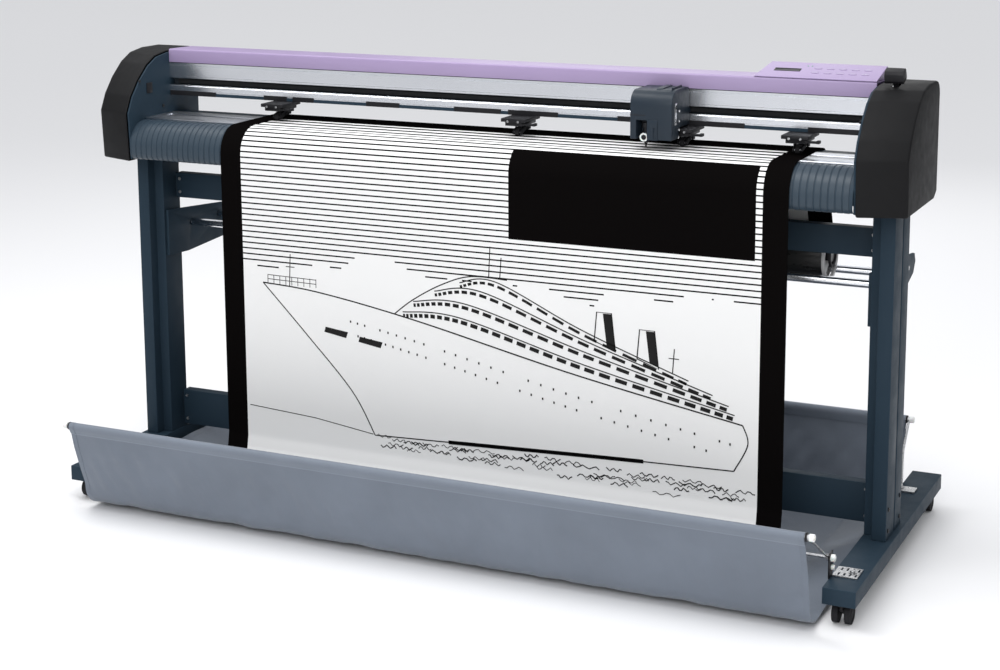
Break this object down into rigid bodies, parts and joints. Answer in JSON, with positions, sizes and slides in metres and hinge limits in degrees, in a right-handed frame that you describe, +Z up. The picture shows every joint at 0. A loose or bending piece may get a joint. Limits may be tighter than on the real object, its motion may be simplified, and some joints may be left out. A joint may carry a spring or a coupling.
{
  "type": "wide-format vinyl cutting plotter",
  "caption": "Wide-format vinyl cutting plotter on a caster stand, with a media roll behind, a loaded sheet and a cloth catch basket.",
  "frame": {"origin": "on the floor, at the middle of the machine's footprint box", "axes": "+X along the cross rail to the operator's right, +Y to the rear where the media roll hangs, +Z up"},
  "size_m": [2.19, 0.99, 1.2087],
  "materials": {
    "painted_steel": "satin blue-grey powder coat",
    "carriage_shell": "dark blue-grey moulding",
    "guide_steel": "satin dark blue paint",
    "cover_shell": "fine-textured black moulding",
    "lilac_shell": "satin lilac moulding",
    "rail_aluminium": "extruded and clear anodised",
    "bright_steel": "zinc plated",
    "black_plastic": "moulded",
    "rubber": "matt",
    "basket_cloth": "woven polyester, blue-grey",
    "media": "vinyl film on a paper liner",
    "media_roll": "wound dark vinyl"
  },
  "bodies": {
    "root": {"foot_right": "painted_steel", "foot_left": "painted_steel", "column_right": "painted_steel", "column_left": "painted_steel", "upper_crossbar": "painted_steel", "lower_crossbar": "painted_steel", "basket_cloth": "basket_cloth", "basket_rear_rod": "bright_steel", "basket_stay_rod": "bright_steel", "basket_front_bracket_right": "bright_steel", "basket_front_bracket_left": "bright_steel", "basket_rear_arm_right": "bright_steel", "basket_rear_arm_left": "bright_steel", "right_cover": "cover_shell", "left_cover": "cover_shell", "side_panel_right": "painted_steel", "side_panel_left": "painted_steel", "body_beam": "painted_steel", "front_guide": "guide_steel", "platen": "rail_aluminium", "feed_motor": "black_plastic", "cross_rail": "rail_aluminium", "carriage_belt": "rubber", "top_cover": "lilac_shell", "control_panel": "lilac_shell", "power_inlet": "black_plastic", "roll_arm_right": "painted_steel", "roll_arm_left": "painted_steel", "loaded_sheet": "media"},
    "basket_front": {"basket_front_rod": "bright_steel", "basket_front_arm_right": "bright_steel", "basket_front_arm_left": "bright_steel"},
    "feed_roller": {"feed_roller": "bright_steel"},
    "carriage": {"carriage": "carriage_shell"},
    "cutter": {"cutter_holder": "bright_steel"},
    "pinch_unit_1": {"pinch_slider_1": "black_plastic"},
    "pinch_lift_1": {"pinch_arm_1": "black_plastic"},
    "pinch_tyre_1": {"pinch_wheel_1": "rubber"},
    "pinch_unit_2": {"pinch_slider_2": "black_plastic"},
    "pinch_lift_2": {"pinch_arm_2": "black_plastic"},
    "pinch_tyre_2": {"pinch_wheel_2": "rubber"},
    "pinch_unit_3": {"pinch_slider_3": "black_plastic"},
    "pinch_lift_3": {"pinch_arm_3": "black_plastic"},
    "pinch_tyre_3": {"pinch_wheel_3": "rubber"},
    "pinch_unit_4": {"pinch_slider_4": "black_plastic"},
    "pinch_lift_4": {"pinch_arm_4": "black_plastic"},
    "pinch_tyre_4": {"pinch_wheel_4": "rubber"},
    "clamp_lever": {"clamp_lever": "black_plastic"},
    "power_switch": {"power_switch": "black_plastic"},
    "roll_bar_front": {"roll_bar_front": "rail_aluminium"},
    "roll_bar_rear": {"roll_bar_rear": "rail_aluminium"},
    "media_roll": {"media_roll": "media_roll"},
    "caster_front_right": {"caster_hood_front_right": "black_plastic"},
    "wheel_front_right": {"caster_wheel_front_right": "rubber"},
    "caster_front_left": {"caster_hood_front_left": "black_plastic"},
    "wheel_front_left": {"caster_wheel_front_left": "rubber"},
    "caster_rear_right": {"caster_hood_rear_right": "black_plastic"},
    "wheel_rear_right": {"caster_wheel_rear_right": "rubber"},
    "caster_rear_left": {"caster_hood_rear_left": "black_plastic"},
    "wheel_rear_left": {"caster_wheel_rear_left": "rubber"}
  },
  "joints": [
    {"name": "basket_front_fold", "type": "hinge", "parent": "root", "child": "basket_front", "pos_m": [0, -0.319, 0.14], "axis": [-1, 0, 0], "range_deg": [0, 20], "deforming": ["basket_cloth"]},
    {"name": "carriage_slide", "type": "slide", "parent": "root", "child": "carriage", "axis": [1, 0, 0], "range_m": [-1.38, 0.44]},
    {"name": "cutter_down", "type": "slide", "parent": "carriage", "child": "cutter", "axis": [0, 0, -1], "range_m": [0, 0.004], "stiffness_N_per_m": 400, "springref_m": -0.004},
    {"name": "feed_roller_spin", "type": "hinge", "parent": "root", "child": "feed_roller", "pos_m": [0, -0.019, 0.984], "axis": [1, 0, 0], "continuous": true},
    {"name": "clamp_lever_turn", "type": "hinge", "parent": "root", "child": "clamp_lever", "pos_m": [1.024, 0.031, 1.12], "axis": [-1, 0, 0], "range_deg": [0, 44]},
    {"name": "pinch_1_along_rail", "type": "slide", "parent": "root", "child": "pinch_unit_1", "axis": [1, 0, 0], "range_m": [-0.25, 0.4]},
    {"name": "pinch_1_lift", "type": "hinge", "parent": "pinch_unit_1", "child": "pinch_lift_1", "pos_m": [-0.615, 0.013, 1.02], "axis": [-1, 0, 0], "range_deg": [0, 8.8]},
    {"name": "pinch_1_spin", "type": "hinge", "parent": "pinch_lift_1", "child": "pinch_tyre_1", "pos_m": [-0.615, -0.019, 1.0084], "axis": [1, 0, 0], "continuous": true},
    {"name": "pinch_2_along_rail", "type": "slide", "parent": "root", "child": "pinch_unit_2", "axis": [1, 0, 0], "range_m": [-0.2, 0.2]},
    {"name": "pinch_2_lift", "type": "hinge", "parent": "pinch_unit_2", "child": "pinch_lift_2", "pos_m": [0.085, 0.013, 1.02], "axis": [-1, 0, 0], "range_deg": [0, 8.8]},
    {"name": "pinch_2_spin", "type": "hinge", "parent": "pinch_lift_2", "child": "pinch_tyre_2", "pos_m": [0.085, -0.019, 1.0084], "axis": [1, 0, 0], "continuous": true},
    {"name": "pinch_3_along_rail", "type": "slide", "parent": "root", "child": "pinch_unit_3", "axis": [1, 0, 0], "range_m": [-0.12, 0.13]},
    {"name": "pinch_3_lift", "type": "hinge", "parent": "pinch_unit_3", "child": "pinch_lift_3", "pos_m": [0.52, 0.013, 1.02], "axis": [-1, 0, 0], "range_deg": [0, 8.8]},
    {"name": "pinch_3_spin", "type": "hinge", "parent": "pinch_lift_3", "child": "pinch_tyre_3", "pos_m": [0.52, -0.019, 1.0084], "axis": [1, 0, 0], "continuous": true},
    {"name": "pinch_4_along_rail", "type": "slide", "parent": "root", "child": "pinch_unit_4", "axis": [1, 0, 0], "range_m": [-0.05, 0.1]},
    {"name": "pinch_4_lift", "type": "hinge", "parent": "pinch_unit_4", "child": "pinch_lift_4", "pos_m": [0.805, 0.013, 1.02], "axis": [-1, 0, 0], "range_deg": [0, 8.8]},
    {"name": "pinch_4_spin", "type": "hinge", "parent": "pinch_lift_4", "child": "pinch_tyre_4", "pos_m": [0.805, -0.019, 1.0084], "axis": [1, 0, 0], "continuous": true},
    {"name": "power_switch_rock", "type": "hinge", "parent": "root", "child": "power_switch", "pos_m": [1.066, 0.154, 1.01], "axis": [1, 0, 0], "range_deg": [0, 14]},
    {"name": "media_roll_spin", "type": "hinge", "parent": "root", "child": "media_roll", "pos_m": [0, 0.1685, 0.724], "axis": [1, 0, 0], "continuous": true},
    {"name": "roll_bar_front_spin", "type": "hinge", "parent": "root", "child": "roll_bar_front", "pos_m": [0, 0.101, 0.676], "axis": [1, 0, 0], "continuous": true},
    {"name": "roll_bar_rear_spin", "type": "hinge", "parent": "root", "child": "roll_bar_rear", "pos_m": [0, 0.236, 0.676], "axis": [1, 0, 0], "continuous": true},
    {"name": "caster_front_right_swivel", "type": "hinge", "parent": "root", "child": "caster_front_right", "pos_m": [1.0245, -0.353, 0.054], "axis": [0, 0, 1], "continuous": true},
    {"name": "caster_front_right_roll", "type": "hinge", "parent": "caster_front_right", "child": "wheel_front_right", "pos_m": [1.0245, -0.337, 0.02479], "axis": [1, 0, 0], "continuous": true},
    {"name": "caster_front_left_swivel", "type": "hinge", "parent": "root", "child": "caster_front_left", "pos_m": [-1.0245, -0.353, 0.054], "axis": [0, 0, 1], "continuous": true},
    {"name": "caster_front_left_roll", "type": "hinge", "parent": "caster_front_left", "child": "wheel_front_left", "pos_m": [-1.0245, -0.337, 0.02479], "axis": [1, 0, 0], "continuous": true},
    {"name": "caster_rear_right_swivel", "type": "hinge", "parent": "root", "child": "caster_rear_right", "pos_m": [1.0245, 0.451, 0.054], "axis": [0, 0, 1], "continuous": true},
    {"name": "caster_rear_right_roll", "type": "hinge", "parent": "caster_rear_right", "child": "wheel_rear_right", "pos_m": [1.0245, 0.467, 0.02479], "axis": [1, 0, 0], "continuous": true},
    {"name": "caster_rear_left_swivel", "type": "hinge", "parent": "root", "child": "caster_rear_left", "pos_m": [-1.0245, 0.451, 0.054], "axis": [0, 0, 1], "continuous": true},
    {"name": "caster_rear_left_roll", "type": "hinge", "parent": "caster_rear_left", "child": "wheel_rear_left", "pos_m": [-1.0245, 0.467, 0.02479], "axis": [1, 0, 0], "continuous": true}
  ],
  "couplings": [
    {"joint": "pinch_1_lift", "follows": "clamp_lever_turn", "ratio": 0.2},
    {"joint": "pinch_1_spin", "follows": "feed_roller_spin", "ratio": -1.5556},
    {"joint": "pinch_2_lift", "follows": "clamp_lever_turn", "ratio": 0.2},
    {"joint": "pinch_2_spin", "follows": "feed_roller_spin", "ratio": -1.5556},
    {"joint": "pinch_3_lift", "follows": "clamp_lever_turn", "ratio": 0.2},
    {"joint": "pinch_3_spin", "follows": "feed_roller_spin", "ratio": -1.5556},
    {"joint": "pinch_4_lift", "follows": "clamp_lever_turn", "ratio": 0.2},
    {"joint": "pinch_4_spin", "follows": "feed_roller_spin", "ratio": -1.5556},
    {"joint": "roll_bar_front_spin", "follows": "media_roll_spin", "ratio": -4.5133},
    {"joint": "roll_bar_rear_spin", "follows": "media_roll_spin", "ratio": -4.5133}
  ]
}
